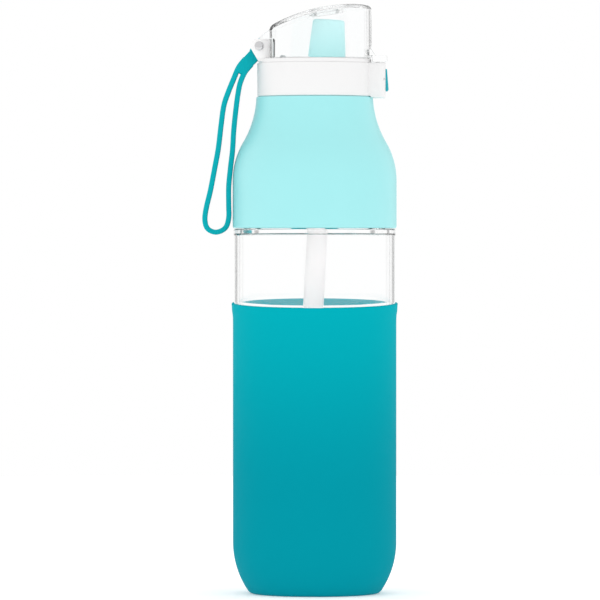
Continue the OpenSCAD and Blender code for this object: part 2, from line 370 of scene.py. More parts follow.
inner_r = SLEEVE_R - SLEEVE_WALL
sleeve = turned("silicone_boot", [
    (9, 0.7), (19, 0.7), (20.5, 0.35), (21.6, 0.05), (22.6, 0),
    *arc(FOOT_X, FOOT_R, FOOT_R, -90, HEEL_ANGLE, 6),
    *arc(HEEL_X, HEEL_Z, HEEL_R, HEEL_ANGLE, 0, 16)[1:],
    (SLEEVE_R, 60), (SLEEVE_R, 95), (SLEEVE_R, 118), (SLEEVE_R + 0.02, 121), (SLEEVE_R + 0.14, 122.8),
    (SLEEVE_R + 0.4, 124.2), (LIP_R - 0.06, 126.9),
    *arc(LIP_R - 0.32, LIP_Z - 0.32, 0.32, 0, 180, 6),
    (LIP_R - 0.64, 127.2), (LIP_R - 0.64, 124.4), (inner_r + 0.5, 122.6), (inner_r, 121.2),
    (inner_r, 95), (inner_r, 60),
    *arc(HEEL_X, HEEL_Z, HEEL_R - SLEEVE_WALL, 0, HEEL_ANGLE, 12),
    (FOOT_X, FLOOR_Z), (9, FLOOR_Z)])


def slant(piece, test):
    """Tips the chosen points about the rim's middle, less in front of it than behind."""
    for angle, side in ((FRONT_SLANT, -1), (BACK_SLANT, 1)):
        take(piece)
        edit_mode()
        select_where(piece, "verts", lambda v: test(v) and v.co.y * side > 1e-6)
        bpy.ops.transform.rotate(value=-math.radians(angle), orient_axis="X",
                                 center_override=(0, 0, LIP_Z * MM))
        bpy.ops.object.mode_set(mode="OBJECT")


slant(sleeve, lambda v: v.co.z > TIPPED_FROM * MM)
front_rim = max(v.co.z for v in sleeve.data.vertices if v.co.y < -0.035)
back_rim = max(v.co.z for v in sleeve.data.vertices if v.co.y > 0.035)
print("rim, front and back", round(front_rim / MM, 1), round(back_rim / MM, 1))
finished(sleeve, "sleeve", "sleeve_silicone", "silicone_sleeve")

# %% [markdown]
# ## Glass
# The flask is blown glass, thick at the base, with a step where the sleeve's lip sits and a rounded
# top corner under the shoulder. Glass only bends light rightly when it is one closed wall with an
# outside and an inside, so a single outline runs up the outside, over the mouth and down the inside.
# Its top is a solid flange: through it the view stays clear, and its underside draws one thin line.
# Just above the sleeve's rim the wall swells by a sixth of a millimetre along the same slant. That
# wedge bends the view upwards over the far rim, so a bright line follows the near one.

# %% Glass
GLASS_R = 35.65
GLASS_WALL = 2.3
GLASS_TOP = 160.3
MOUTH_R = 30.4
MOUTH_TOP = 172
GLASS_LOW_R = inner_r - 0.3
SHRINK = SLEEVE_WALL + 0.3
INNER_R = GLASS_R - GLASS_WALL
TOP_CORNER = 0.6
UNDERSIDE = GLASS_TOP - 2.25
TAPER, TAPER_H = 0.16, 0.9
TAPER_Z = LIP_Z + 0.1

glass = turned("glass_flask", [
    (8, 2.9), (18, 2.6), (21, 2.0), (22.5, 1.8), (FOOT_X - 0.4, 1.8),
    *arc(HEEL_X, HEEL_Z, HEEL_R - SHRINK, HEEL_ANGLE + 1, 0, 16),
    (GLASS_LOW_R, 60), (GLASS_LOW_R, 100), (GLASS_LOW_R, 121), (GLASS_LOW_R + 0.15, 122.1),
    (GLASS_LOW_R + 0.6, 122.9), (GLASS_R - 0.4, 123.6), (GLASS_R - TAPER, 124.4),
    (GLASS_R - TAPER, TAPER_Z - 0.4), (GLASS_R - TAPER, TAPER_Z), (GLASS_R, TAPER_Z + TAPER_H),
    (GLASS_R, TAPER_Z + TAPER_H + 0.4), (GLASS_R, GLASS_TOP - TOP_CORNER - 0.4),
    *arc(GLASS_R - TOP_CORNER, GLASS_TOP - TOP_CORNER, TOP_CORNER, 0, 90, 8),
    (GLASS_R - TOP_CORNER - 0.4, GLASS_TOP), (MOUTH_R + 0.6, GLASS_TOP), (MOUTH_R, GLASS_TOP + 0.6),
    (MOUTH_R, GLASS_TOP + 0.9), (MOUTH_R, MOUTH_TOP - 1),
    *arc(MOUTH_R - 1, MOUTH_TOP - 1, 1, 0, 90, 5),
    *arc(MOUTH_R - 1.6, MOUTH_TOP - 0.8, 0.8, 90, 180, 4),
    (MOUTH_R - 2.4, MOUTH_TOP - 1.2), (MOUTH_R - 2.4, UNDERSIDE + 0.45),
    *arc(MOUTH_R - 2.1, UNDERSIDE + 0.3, 0.3, 180, 270, 4), (MOUTH_R - 1.5, UNDERSIDE),
    (INNER_R - 0.7, UNDERSIDE), *arc(INNER_R - 0.3, UNDERSIDE - 0.3, 0.3, 90, 0, 6),
    (INNER_R, UNDERSIDE - 0.7), (INNER_R, 126.5), (INNER_R, 126), (GLASS_LOW_R - GLASS_WALL + 0.2, 119),
    (GLASS_LOW_R - GLASS_WALL, 116), (GLASS_LOW_R - GLASS_WALL, 60),
    *arc(HEEL_X, HEEL_Z, HEEL_R - SHRINK - GLASS_WALL, 0, -24, 10),
    *arc(24.2, 11.4, 3.8, -35, -90, 5), (18, 7.7), (8, 8.4)], sides=160)
slant(glass, lambda v: v.co.xy.length > (GLASS_R - TAPER - 0.05) * MM
      and TAPER_Z - 0.1 < v.co.z / MM < TAPER_Z + TAPER_H + 0.5)
join_on(glass, thread_ridge(MOUTH_R - 0.4, MOUTH_R + 1.55, 164))
finished(glass, "vessel", "clear_glass", "glass_body", angle=40)

# %% [markdown]
# ## Shoulder
# The pastel shoulder is a moulded bell. Its side is one round arc that swings over into a hollow arc
# up to the lid, so the outline is two arcs that share a tangent. It screws onto the glass below and
# carries the drinking neck with its own thread, which shows when the lid comes off.

# %% Shoulder
SHOULDER_R = 36.05
LID_SEAM_Z = 218.4
SHOULDER_Z = GLASS_TOP + 0.3
BELL_Z = 181.5
HOLLOW_R = 42.4
HOLLOW = (68, 220)
side, rise = HOLLOW[0] - SHOULDER_R, HOLLOW[1] - BELL_Z
BELL_R = (side ** 2 + rise ** 2 - HOLLOW_R ** 2) / (2 * (HOLLOW_R - side))
BELL_ANGLE = math.degrees(math.atan2(rise, side + BELL_R))
NECK_R = 20.3
NECK_TOP = 230
BORE_R = MOUTH_R + 2
SEAT_Z = MOUTH_TOP + 2.6

shoulder = turned("pastel_shoulder", [
    (BORE_R, SHOULDER_Z + 0.5), (BORE_R + 0.5, SHOULDER_Z),
    *arc(SHOULDER_R - 0.9, SHOULDER_Z + 0.9, 0.9, -90, 0, 5),
    (SHOULDER_R, 170),
    *arc(SHOULDER_R - BELL_R, BELL_Z, BELL_R, 0, BELL_ANGLE, 14),
    *arc(*HOLLOW, HOLLOW_R, 180 + BELL_ANGLE, 182.6, 14)[1:],
    (25.5, LID_SEAM_Z - 0.15), (25.2, LID_SEAM_Z), (NECK_R + 0.5, LID_SEAM_Z), (NECK_R, 218.9),
    (NECK_R, NECK_TOP - 0.8),
    *arc(NECK_R - 0.8, NECK_TOP - 0.8, 0.8, 0, 90, 4),
    *arc(NECK_R - 1.5, NECK_TOP - 0.6, 0.6, 90, 180, 4),
    (18.2, 217), (21.8, 213), (23.8, 208), (25.6, 203.5), (28.4, 198), (30.6, 193), (31.9, 187),
    (32.4, 181), (32, 178.5), (28.6, SEAT_Z + 1.6), (28.6, SEAT_Z), (BORE_R, SEAT_Z)], closed=True)
join_on(shoulder, thread_ridge(NECK_R - 0.4, NECK_R + 1.05, 221.4))
finished(shoulder, "shoulder", "pastel_plastic", "shoulder")

# %% [markdown]
# ## Lid collar and latch block
# The collar is a plain white ring. The latch block on its front is a rounded box fused to it, hollow
# inside, with a window for the button and a slot on top for the dome's catch.

# %% Collar
collar_low, collar_high = node_box("lid_collar")
COLLAR_R = 25.2
COLLAR_Z = 218.7
COLLAR_TOP = collar_high.z
SKIRT_R = 23.3
BLOCK_REACH = collar_high.x
BLOCK_HALF = 9
BLOCK_Z = collar_low.z
BLOCK_CLEAR_R = 26.1
ROCKER_X, ROCKER_Z = 30, 226

collar = turned("lid_collar_ring", [
    (SKIRT_R, COLLAR_Z + 0.3), (SKIRT_R + 0.3, COLLAR_Z - 0.2),
    *arc(COLLAR_R - 0.5, COLLAR_Z + 0.3, 0.5, -90, 0, 4),
    (COLLAR_R, 226),
    *arc(COLLAR_R - 0.35, COLLAR_TOP - 0.35, 0.35, 0, 90, 4),
    (SKIRT_R, COLLAR_TOP)], closed=True, sides=192)
latch_block = block("latch_block", (16, -BLOCK_HALF, BLOCK_Z), (BLOCK_REACH, BLOCK_HALF, COLLAR_TOP),
                    upright=3, edge=0.5)
carve(latch_block, turned("bore", [(SKIRT_R + 0.6, 210), (SKIRT_R + 0.6, 240)], sides=192))
carve(latch_block, turned("clear", [(BLOCK_CLEAR_R, 210), (BLOCK_CLEAR_R, COLLAR_Z)], sides=192))
join_on(collar, latch_block)
carve(collar, block("rocker_room", (COLLAR_R, -6.4, 219.2), (29.9, 6.4, 232.2)))
carve(collar, block("window", (27, -6.3, 220.3), (37, 6.3, 230.9)))
carve(collar, block("catch_slot", (25.3, -4.6, 230), (28.4, 4.6, 240)))
finished(collar, "lid", "white_plastic", "lid_collar")

# %% [markdown]
# ## Lid deck with the hinge ears
# The deck closes the lid. Two ears stand up at the back and hold the steel pin; they are traced as a
# side outline with rounded corners, so the pin boss and the slanted edge where the strap leaves are one
# shape. A leaning pocket takes the spout's flange from below.

# %% Deck
DECK_TOP = 235.2
DECK_R = COLLAR_R - 0.25
UNDER = COLLAR_TOP - 1
LEAN = 3.1
SPOUT_X, SPOUT_Z = 5.33, 236.1
PIN_X, PIN_Z, PIN_R = -24.3, 240.5, 1.2
EAR_IN, EAR_OUT = 8.9, 10.6
VALVE_X = -14
leaning = (Matrix.Translation(Vector((SPOUT_X, 0, SPOUT_Z)) * MM)
           @ Matrix.Rotation(math.radians(LEAN), 4, "Y"))


def leaned(piece):
    piece.data.transform(leaning)
    return piece


def bar(name, x, z, radius, low_y, high_y, sides=48):
    """A plain round tool along Y."""
    piece = across(turned(name, [(radius, 0), (radius, high_y - low_y)], sides=sides), x, z)
    return shift(piece, y=low_y)


def rounded(corners, steps=5):
    """An outline whose corners (x, z, radius) are replaced by arcs of that radius."""
    points = []
    for i, (x, z, radius) in enumerate(corners):
        here = Vector((x, z))
        to_last = (Vector(corners[i - 1][:2]) - here).normalized()
        to_next = (Vector(corners[(i + 1) % len(corners)][:2]) - here).normalized()
        half = to_last.angle(to_next) / 2
        reach = radius / math.tan(half)
        centre = here + (to_last + to_next).normalized() * (radius / math.sin(half))
        a, b = here + to_last * reach - centre, here + to_next * reach - centre
        turn = a.angle_signed(b)
        for s in range(steps + 1):
            points.append(tuple(centre + Matrix.Rotation(-turn * s / steps, 2) @ a))
    return points


deck = turned("lid_deck_plate", [
    (6, UNDER), (21.75, UNDER), (21.75, 219.8), (22.1, 219.5), (23, 219.5), (SKIRT_R, 219.8),
    (SKIRT_R, COLLAR_TOP), (DECK_R - 0.2, COLLAR_TOP), (DECK_R, COLLAR_TOP + 0.2),
    (DECK_R, DECK_TOP - 0.6), *arc(DECK_R - 0.6, DECK_TOP - 0.6, 0.6, 0, 90, 4)[1:],
    (21, DECK_TOP), (6, DECK_TOP)], sides=192)
join_on(deck, leaned(turned("socket", [(12, -10), (12, -3)])))
EAR = rounded([(-18.5, 234.2, 0.5), (-18.5, 243.6, 1.3), (-27.2, 243.6, 1.9), (-28.0, 239.4, 0.6),
               (-24.7, 233.8, 0.5), (-20, 233.8, 0.5)])
for low_y, high_y in [(-EAR_OUT, -EAR_IN), (EAR_IN, EAR_OUT)]:
    join_on(deck, traced("ear", EAR, low_y, high_y, edge=0.3))
carve(deck, leaned(turned("spout_hole", [(7.5, -30), (7.5, 10)])))
carve(deck, leaned(turned("flange_pocket", [(10.3, -30), (10.3, -3.9)])))
carve(deck, block("strap_slot", (-30, -5.2, COLLAR_TOP), (-22, 5.2, 245)))
carve(deck, bar("pin_hole", PIN_X, PIN_Z, PIN_R, -20, 20))
carve(deck, shift(turned("valve_hole", [(1.02, 215), (1.02, 245)], sides=48), x=VALVE_X))
finished(deck, "lid", "white_plastic", "lid_deck")

# %% [markdown]
# ## Spout, its retainer, the valve and the straw
# The spout is soft and slightly see-through. It narrows upwards, has a rolled top edge round a small
# hole, and leans with the straw. The straw is a plain frosted tube whose foot is cut on a slant, so that
# it can't seal itself against the base.

# %% Spout
SPOUT_H = 16.2
STRAW_R = 4.5
STRAW_WALL = 0.9
STRAW_FOOT = -226
FOOT_CUT = 0.9

spout = leaned(turned("soft_spout", [
    (3.2, -5.5), (9.7, -5.5), (10, -5.2), (10, -4.2), (9.7, -3.9), (7.5, -3.9), (7.45, -0.4),
    (7.9, -0.3), (8.2, 0.1), (8.15, 1.2), (7.95, 4), (7.45, 10), (7.05, SPOUT_H - 1.6),
    *arc(5.95, SPOUT_H - 1.1, 1.1, 5, 90, 6),
    (3.6, SPOUT_H), *arc(3.2, SPOUT_H - 0.7, 0.7, 80, 180, 5), (2.4, 6), (3.2, 2)], closed=True))
finished(spout, "lid", "spout_silicone", "spout")

retainer = leaned(turned("spout_clamp_ring", [
    (3.2, -7), (3.2, -5.7), (3.4, -5.5), (9.9, -5.5), (10.25, -5.8), (10.25, -9.2), (9.95, -9.5),
    (6.6, -9.5), (6.3, -9.8), (6.1, -19.7), (5.8, -20), (4.9, -20), (STRAW_R + 0.02, -19.6),
    (STRAW_R + 0.02, -7)], closed=True))
finished(retainer, "lid", "white_plastic", "spout_retainer")

# %% Straw
bore = STRAW_R - STRAW_WALL
heights = [-7.2, -60, -120, -180, STRAW_FOOT + 4.6]
straw = turned("frosted_straw", [
    (STRAW_R - 0.15, -7), *[(STRAW_R, z) for z in heights],
    (STRAW_R - 0.1, STRAW_FOOT + 4.4), (bore + 0.1, STRAW_FOOT + 4.4),
    *[(bore, z) for z in reversed(heights)], (bore + 0.15, -7)], closed=True, sides=64)
for vertex in straw.data.vertices:
    if vertex.co.z < (STRAW_FOOT + 6) * MM:
        vertex.co.z += vertex.co.x * FOOT_CUT
leaned(straw)
finished(straw, "lid", "frosted_plastic", "straw")

# %% Vent valve and the two hidden seals
valve = turned("vent_valve_umbrella", [
    (0.5, 231.45), (2.9, 231.4), (3.2, 231.55), (3.1, 231.75), (1.7, 232.15), (1, 232.2), (1, DECK_TOP),
    (1.4, DECK_TOP + 0.1), (1.5, DECK_TOP + 0.5), (1.2, DECK_TOP + 1.2), (0.6, DECK_TOP + 1.6),
    (0.3, DECK_TOP + 1.6)], sides=48)
shift(valve, x=VALVE_X)
finished(valve, "lid", "seal_silicone", "vent_valve")


def seal_ring(name, node, body):
    """A flat seal with rounded lips, at the place of its node."""
    low, high = node_box(node)
    outer, thick = high.x, high.z - low.z
    inner = outer - (3.2 if node == "shoulder_gasket" else 2.6)
    r = thick / 2
    ring = turned(name, [*arc(outer - r, low.z + r, r, -90, 90, 8),
                         *arc(inner + r, low.z + r, r, 90, 270, 8)], closed=True)
    return finished(ring, body, "seal_silicone", node)


seal_ring("shoulder_seal", "shoulder_gasket", "shoulder_ring")
seal_ring("lid_seal", "lid_gasket", "lid_ring")

# %% [markdown]
# ## Hinge pin and springs
# The pin is turned steel with a low domed head that catches the light, and a cap of the same shape is
# pressed on its far end. The springs are round wire: a small circle swept by the Screw modifier. The
# button's spring can't follow the button, so it rides on the lid and gets its own copy of its mesh.

# %% Pin
HEAD_R = 2.0
HEAD_T = 0.8
head_dome = [(HEAD_R - 0.1, 0), (HEAD_R, 0.15), (HEAD_R - 0.12, 0.42), (HEAD_R - 0.5, 0.64),
             (HEAD_R - 1.1, 0.76), (0.35, HEAD_T)]
pin = across(turned("hinge_pin_shaft", [(PIN_R - 0.2, 0), (PIN_R, 0.2), (PIN_R, EAR_OUT * 2)], sides=48),
             PIN_X, PIN_Z)
shift(pin, y=-EAR_OUT)
head = across(turned("hinge_pin_head", [(PIN_R - 0.3, 0), *head_dome], sides=64), PIN_X, PIN_Z)
head.data.transform(Matrix.Translation((0, -EAR_OUT * MM, 0)) @ Matrix.Scale(-1, 4, (0, 1, 0)))
take(head)
edit_mode()
close_up(head)
finished(pin, "lid", "pin_steel", "hinge_pin")
finished(head, "lid", "pin_steel", angle=50)
cap = across(turned("hinge_pin_end_cap", [(PIN_R - 0.3, 0), *head_dome], sides=64), PIN_X, PIN_Z)
shift(cap, y=EAR_OUT)
finished(cap, "lid", "pin_steel", "hinge_pin_cap", angle=50)


# %% Springs
def spring(name, radius, wire, length, turns):
    """Round wire wound about +Z from the origin, with closed ends."""
    deselect()
    bpy.ops.mesh.primitive_circle_add(vertices=12, radius=wire * MM, fill_type="NOTHING",
                                      rotation=(math.pi / 2, 0, 0))
    coil = bpy.context.object
    coil.name = name
    bpy.ops.object.transform_apply(rotation=True)
    shift(coil, x=radius, z=wire)
    wind = coil.modifiers.new("wind", "SCREW")
    wind.angle = math.tau * turns
    wind.screw_offset = (length - 2 * wire) * MM
    wind.steps = wind.render_steps = int(32 * turns)
    bpy.ops.object.modifier_apply(modifier=wind.name)
    return close_ends(coil)


COIL_LENGTH = 1.9
for name, start, nodes in [("torsion_spring_back", EAR_IN - 0.2 - COIL_LENGTH, ["hinge_spring"]),
                           ("torsion_spring_front", 0.2 - EAR_IN, [])]:
    coil = shift(across(spring(name, 2, 0.2, COIL_LENGTH, 3), PIN_X, PIN_Z), y=start)
    finished(coil, "lid", "spring_steel", *nodes, angle=60)

SPRING_SEAT_X, SPRING_SEAT_Z = COLLAR_R + 0.05, 222.9
push_spring = spring("button_spring", 1.5, 0.2, 3.9, 4)
push_spring.data.transform(Matrix.Translation(Vector((SPRING_SEAT_X, 0, SPRING_SEAT_Z)) * MM)
                           @ Matrix.Rotation(math.radians(90), 4, "Y"))
finished(push_spring, "lid", "spring_steel", "latch_spring", angle=60)
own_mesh(push_spring)

rocker_pin = across(turned("button_pivot", [(0.6, 0), (0.8, 0.2), (0.8, 16.1), (0.6, 16.3)], sides=32),
                    ROCKER_X, ROCKER_Z)
shift(rocker_pin, y=-8.15)
finished(rocker_pin, "lid", "pin_steel", "latch_pin")

# %% [markdown]
# ## Latch button
# The button rocks on its pin: its thick lower end is pushed in, and the nose on its upper arm lets go of
# the dome's catch. Its front is a shallow wedge with soft edges, traced from the side.

# %% Button
BUTTON_TOP, BUTTON_BOTTOM = 230.6, 220.9
button_face = rounded([(31.95, BUTTON_BOTTOM, 0.45), (32.45, BUTTON_BOTTOM + 0.4, 0.45),
                       (31.75, BUTTON_TOP, 0.5), (29.4, BUTTON_TOP, 0.45), (29.4, BUTTON_BOTTOM, 0.45)])
button = traced("push_button", button_face, -6, 6, edge=0.4, segments=4)
join_on(button, traced("nose", [(29.5, 227.2), (29.7, BUTTON_TOP - 0.1), (28.8, BUTTON_TOP - 0.1),
                                (28.8, 231.5), (27.6, 231.5), (27.6, 230.9), (28.2, 228)], -4, 4))
join_on(button, bar("hub", ROCKER_X, ROCKER_Z, 1.6, -5.4, 5.4))
carve(button, bar("hub_hole", ROCKER_X, ROCKER_Z, 0.86, -9, 9))
finished(button, "button", "button_plastic", "latch_button")

# %% [markdown]
# ## Flip dome
# The dome is a clear moulded shell: a round wall with a flat back, under a roof that arches from back to
# front. One ring of points follows its plan. It is pulled up to just below the roof, rolled over in a
# small fillet and shrunk towards the middle, and each point takes its height from the roof's arc. That
# gives one clean skin, which Solidify turns into a wall of even thickness.

# %% Dome shell
DOME_R = 25.05
DOME_WALL = 1.8
DOME_Z = DECK_TOP + 0.2
DOME_FLAT = -19.8
DOME_CORNER = 2.6
ROOF_X, ROOF_R = 19.7, 86.1
ROOF_Z = node_box("dome_cover")[1].z - ROOF_R
FILLET = 1.9
DOME_MIDDLE = 3.0


def roof(x):
    """Height of the roof's outer skin above a place along X, in mm."""
    return ROOF_Z + math.sqrt(ROOF_R ** 2 - (x - ROOF_X) ** 2)


def dome_plan(inset):
    """The dome's plan, a circle cut flat at the back with round corners, moved inwards by inset."""
    wall = DOME_R - inset
    corner = max(DOME_CORNER - inset, 0.2)
    flat = DOME_FLAT + inset
    corner_x = flat + corner
    corner_y = math.sqrt((wall - corner) ** 2 - corner_x ** 2)
    meets = math.atan2(corner_y, corner_x)
    around = [meets * i / 56 for i in range(57)]
    half = [(wall * math.cos(a), wall * math.sin(a)) for a in around]
    bend = [meets + (math.pi - meets) * i / 6 for i in range(1, 7)]
    half += [(corner_x + corner * math.cos(a), corner_y + corner * math.sin(a)) for a in bend]
    half += [(flat, corner_y * (1 - i / 6)) for i in range(1, 7)]
    return half + [(x, -y) for x, y in reversed(half[1:-1])]


rings = [(dome_plan(0), None)]
rings += [(dome_plan(FILLET * (1 - math.cos(math.radians(a)))), FILLET * (1 - math.sin(math.radians(a))))
          for a in (0, 15, 30, 45, 60, 75, 90)]
rolled = rings[-1][0]
for shrink in (0.9, 0.78, 0.64, 0.5, 0.36, 0.22, 0.1, 0.02):
    rings.append(([(DOME_MIDDLE + (x - DOME_MIDDLE) * shrink, y * shrink) for x, y in rolled], 0))

deselect()
bpy.ops.mesh.primitive_circle_add(vertices=len(rolled), radius=DOME_R * MM, fill_type="NOTHING")
dome = bpy.context.object
dome.name = "clear_flip_dome"
edit_mode()
shape = bmesh.from_edit_mesh(dome.data)
place = shape.verts.layers.int.new("place")
for vertex in shape.verts:
    vertex[place] = vertex.index
for number, (plan, drop) in enumerate(rings):
    if number:
        bpy.ops.mesh.extrude_region_move()
    shape = bmesh.from_edit_mesh(dome.data)
    place = shape.verts.layers.int["place"]
    for vertex in shape.verts:
        if vertex.select:
            x, y = plan[vertex[place]]
            vertex.co = Vector((x, y, DOME_Z if drop is None else roof(x) - drop)) * MM
    bmesh.update_edit_mesh(dome.data)
bpy.ops.mesh.merge(type="CENTER")
close_up(dome)
take(dome)
wall = dome.modifiers.new("wall", "SOLIDIFY")
wall.thickness = DOME_WALL * MM
wall.offset = -1
wall.use_even_offset = True
bpy.ops.object.modifier_apply(modifier=wall.name)
print("dome shell", len(dome.data.vertices), "points")

# %% [markdown]
# A collar under the roof presses the seal onto the spout. A tab with a hooked leg reaches into the latch
# block, and two knuckles reach back to the pin. They are fused to the shell before it is finished, so
# that light passes through one solid and not through hidden walls.

# %% Dome collar, tab and knuckles
RING_X = 4.9
RING_Z = 254.25
RING_SLOPE = math.tan(math.radians(7.8))


def under_roof(name, outline, top_drop, sides=96):
    """A turned piece about the spout whose foot is slanted and whose top follows the roof."""
    profile = [(radius, 0 if low else 1) for radius, low in outline]
    piece = turned(name, profile, closed=len(outline) > 2, sides=sides)
    for v in piece.data.vertices:
        v.co.x += RING_X * MM
        x = v.co.x / MM
        low = v.co.z < 0.5 * MM
        v.co.z = (RING_Z + RING_SLOPE * (x - RING_X) if low else roof(x) - top_drop) * MM
    return piece


join_on(dome, under_roof("seal_ring", [(6.3, True), (7.7, True), (7.7, False), (6.3, False)], 0.9))
TAB = rounded([(23.7, 236.25, 0.4), (25.35, 236.25, 0.1), (25.35, 233.6, 0.4), (31.6, 233.6, 0.35),
               (31.9, 234.1, 0.35), (31.75, 236.5, 0.5), (26.6, 236.5, 0.8), (24.9, 239.4, 0.4),
               (23.7, 239.4, 0.35)])
join_on(dome, traced("tab", TAB, -7, 7, edge=0.3))
join_on(dome, traced("hook", rounded([(25.7, 234, 0.1), (25.7, 229.8, 0.2), (27, 229.8, 0.2),
                                      (27, 230.35, 0.15), (26.6, 230.7, 0.1), (26.6, 234, 0.1)]), -4, 4))
notch = block("hinge_notch", (-30, -EAR_OUT - 0.3, 225), (-17, EAR_OUT + 0.3, 243.9))
carve(dome, notch)
KNUCKLE = [*arc(PIN_X, PIN_Z, 2.8, 130, 320, 16), (-18.7, 244.3), (-18.7, 248.5), (-19.3, 248.5)]
for low_y, high_y in [(-6.5, -5.1), (5.1, 6.5)]:
    join_on(dome, traced("knuckle", KNUCKLE, low_y, high_y, edge=0.2))
carve(dome, bar("knuckle_hole", PIN_X, PIN_Z, PIN_R + 0.06, -8, 8))
finished(dome, "dome", "clear_plastic", "dome_cover", angle=35)

# %% Spout seal
spout_seal = under_roof("soft_seal_plug", [(6.28, True), (6.28, False)], DOME_WALL + 0.02)
shift(spout_seal, z=0.08)
for v in spout_seal.data.vertices:
    v.co.z = min(v.co.z, (roof(v.co.x / MM) - DOME_WALL - 0.02) * MM)
finished(spout_seal, "dome", "clear_silicone", "spout_seal", angle=35)

# %% [markdown]
# ## Carry strap
# The strap is one moulded silicone band, bent into a long loop whose ends meet in a thick tab on the
# hinge pin. A line of points is pulled along its path and then across its width, Solidify makes it a
# band, and Bevel rounds its edges. The tab and the eye are traced and fused on.

# %% Strap
STRAP_HALF = 4.8
STRAP_T = 2.2
STRAP_PATH = [(-27.6, 233), (-30.5, 229.6), (-32.5, 225.3), (-33.5, 221.1), (-34.6, 213.2),
              (-35.6, 203.5), (-36.1, 195.1), (-37, 187.4), (-37.8, 179), (-37.8, 170.6),
              (-37.8, 165.2), (-39.3, 160.8), (-43.3, 158.92), (-47, 160.4), (-48.26, 164),
              (-47.8, 169), (-45.8, 177.5), (-44, 186.9), (-42.4, 195.6), (-41.3, 204.8),
              (-40.1, 213.8), (-38.5, 219.2), (-35.6, 226.4), (-33.3, 231.6), (-30.2, 235.4)]

path = curve_through(STRAP_PATH, 4)
strap = drawn("silicone_carry_strap", path, -STRAP_HALF)
pull(0, 2 * STRAP_HALF * MM, 0)
bpy.ops.object.mode_set(mode="OBJECT")
band = strap.modifiers.new("band", "SOLIDIFY")
band.thickness = STRAP_T * MM
band.offset = 0
soft = strap.modifiers.new("soft", "BEVEL")
soft.width = 0.6 * MM
soft.segments = 4
soft.limit_method = "ANGLE"
soft.angle_limit = math.radians(50)
for step in (band.name, soft.name):
    bpy.ops.object.modifier_apply(modifier=step)
edit_mode()
close_up(strap)
TAB_OUTLINE = rounded([(-23.3, 236, 0.7), (-30.9, 228.6, 0.7), (-32.6, 228.4, 0.7), (-35.4, 230.1, 0.7),
                       (-33.2, 233.4, 2), (-27.2, 240, 0.7)])
join_on(strap, traced("tab", TAB_OUTLINE, -STRAP_HALF - 0.02, STRAP_HALF + 0.02, edge=0.6, segments=4))
NECK_OUTLINE = [(-21.9, 239), (-24.0, 235.6), (-28.6, 238.8), (-26.7, 242)]
join_on(strap, traced("neck", NECK_OUTLINE, -STRAP_HALF + 0.02, STRAP_HALF - 0.02, edge=0.6, segments=4))
join_on(strap, bar("eye", PIN_X, PIN_Z, 2.8, -STRAP_HALF + 0.1, STRAP_HALF - 0.1))
carve(strap, bar("eye_hole", PIN_X, PIN_Z, PIN_R + 0.3, -9, 9))
finished(strap, "strap", "strap_silicone", "carry_strap", angle=40)
length = sum((b - a).length for a, b in zip(path, path[1:]))
print("strap loop", round(length), "mm round")

# %% [markdown]
# ## Shared effects
# Four small node groups give the finishes their detail. `moulded_skin` holds the fine grain that a mould
# leaves and the slow unevenness of its gloss. `height_fade` tells how far up the bottle a point is.
# `handled` gives soft smudges where hands have been. The fourth group marks where a part gets a painted
# glow, emission that is painted light, by its distance from the axis and its height. They put out only
# masks and heights, and each finish decides what to do with them. The materials keep their own shader.


# %% Node groups
def new_group(name, inputs, outputs):
    group = bpy.data.node_groups.new(name, "ShaderNodeTree")
    for socket, value in inputs:
        made = group.interface.new_socket(socket, in_out="INPUT", socket_type="NodeSocketFloat")
        made.default_value = value
    for socket in outputs:
        group.interface.new_socket(socket, in_out="OUTPUT", socket_type="NodeSocketFloat")
    return group, group.nodes.new("NodeGroupInput"), group.nodes.new("NodeGroupOutput")


def add_node(tree, kind, x=0, y=0, **settings):
    node = tree.nodes.new(kind)
    node.location = (x, y)
    for key, value in settings.items():
        setattr(node, key, value)
    return node


def connect(tree, *links):
    """Joins sockets, each link given as a node, its output, the next node and its input."""
    for source, given_out, target, taken_in in links:
        tree.links.new(source.outputs[given_out], target.inputs[taken_in])


skin_group, given, out = new_group("moulded_skin", [("Grain", 4000), ("Sweep", 60)], ["Height", "Gloss"])
place = add_node(skin_group, "ShaderNodeTexCoord", -600)
grain = add_node(skin_group, "ShaderNodeTexNoise", -300, 200)
grain.inputs["Detail"].default_value = 3
sweep_noise = add_node(skin_group, "ShaderNodeTexNoise", -300, -100)
sweep_noise.inputs["Detail"].default_value = 2
connect(skin_group, (place, "Object", grain, "Vector"), (place, "Object", sweep_noise, "Vector"),
        (given, "Grain", grain, "Scale"), (given, "Sweep", sweep_noise, "Scale"),
        (grain, "Fac", out, "Height"), (sweep_noise, "Fac", out, "Gloss"))

fade_group, given, out = new_group("height_fade", [("Low", 0.0), ("High", 0.13)], ["Mask"])
place = add_node(fade_group, "ShaderNodeTexCoord", -600)
split = add_node(fade_group, "ShaderNodeSeparateXYZ", -400)
spread = add_node(fade_group, "ShaderNodeMapRange", -200, interpolation_type="SMOOTHSTEP")
connect(fade_group, (place, "Object", split, "Vector"), (split, "Z", spread, "Value"),
        (given, "Low", spread, "From Min"), (given, "High", spread, "From Max"),
        (spread, "Result", out, "Mask"))

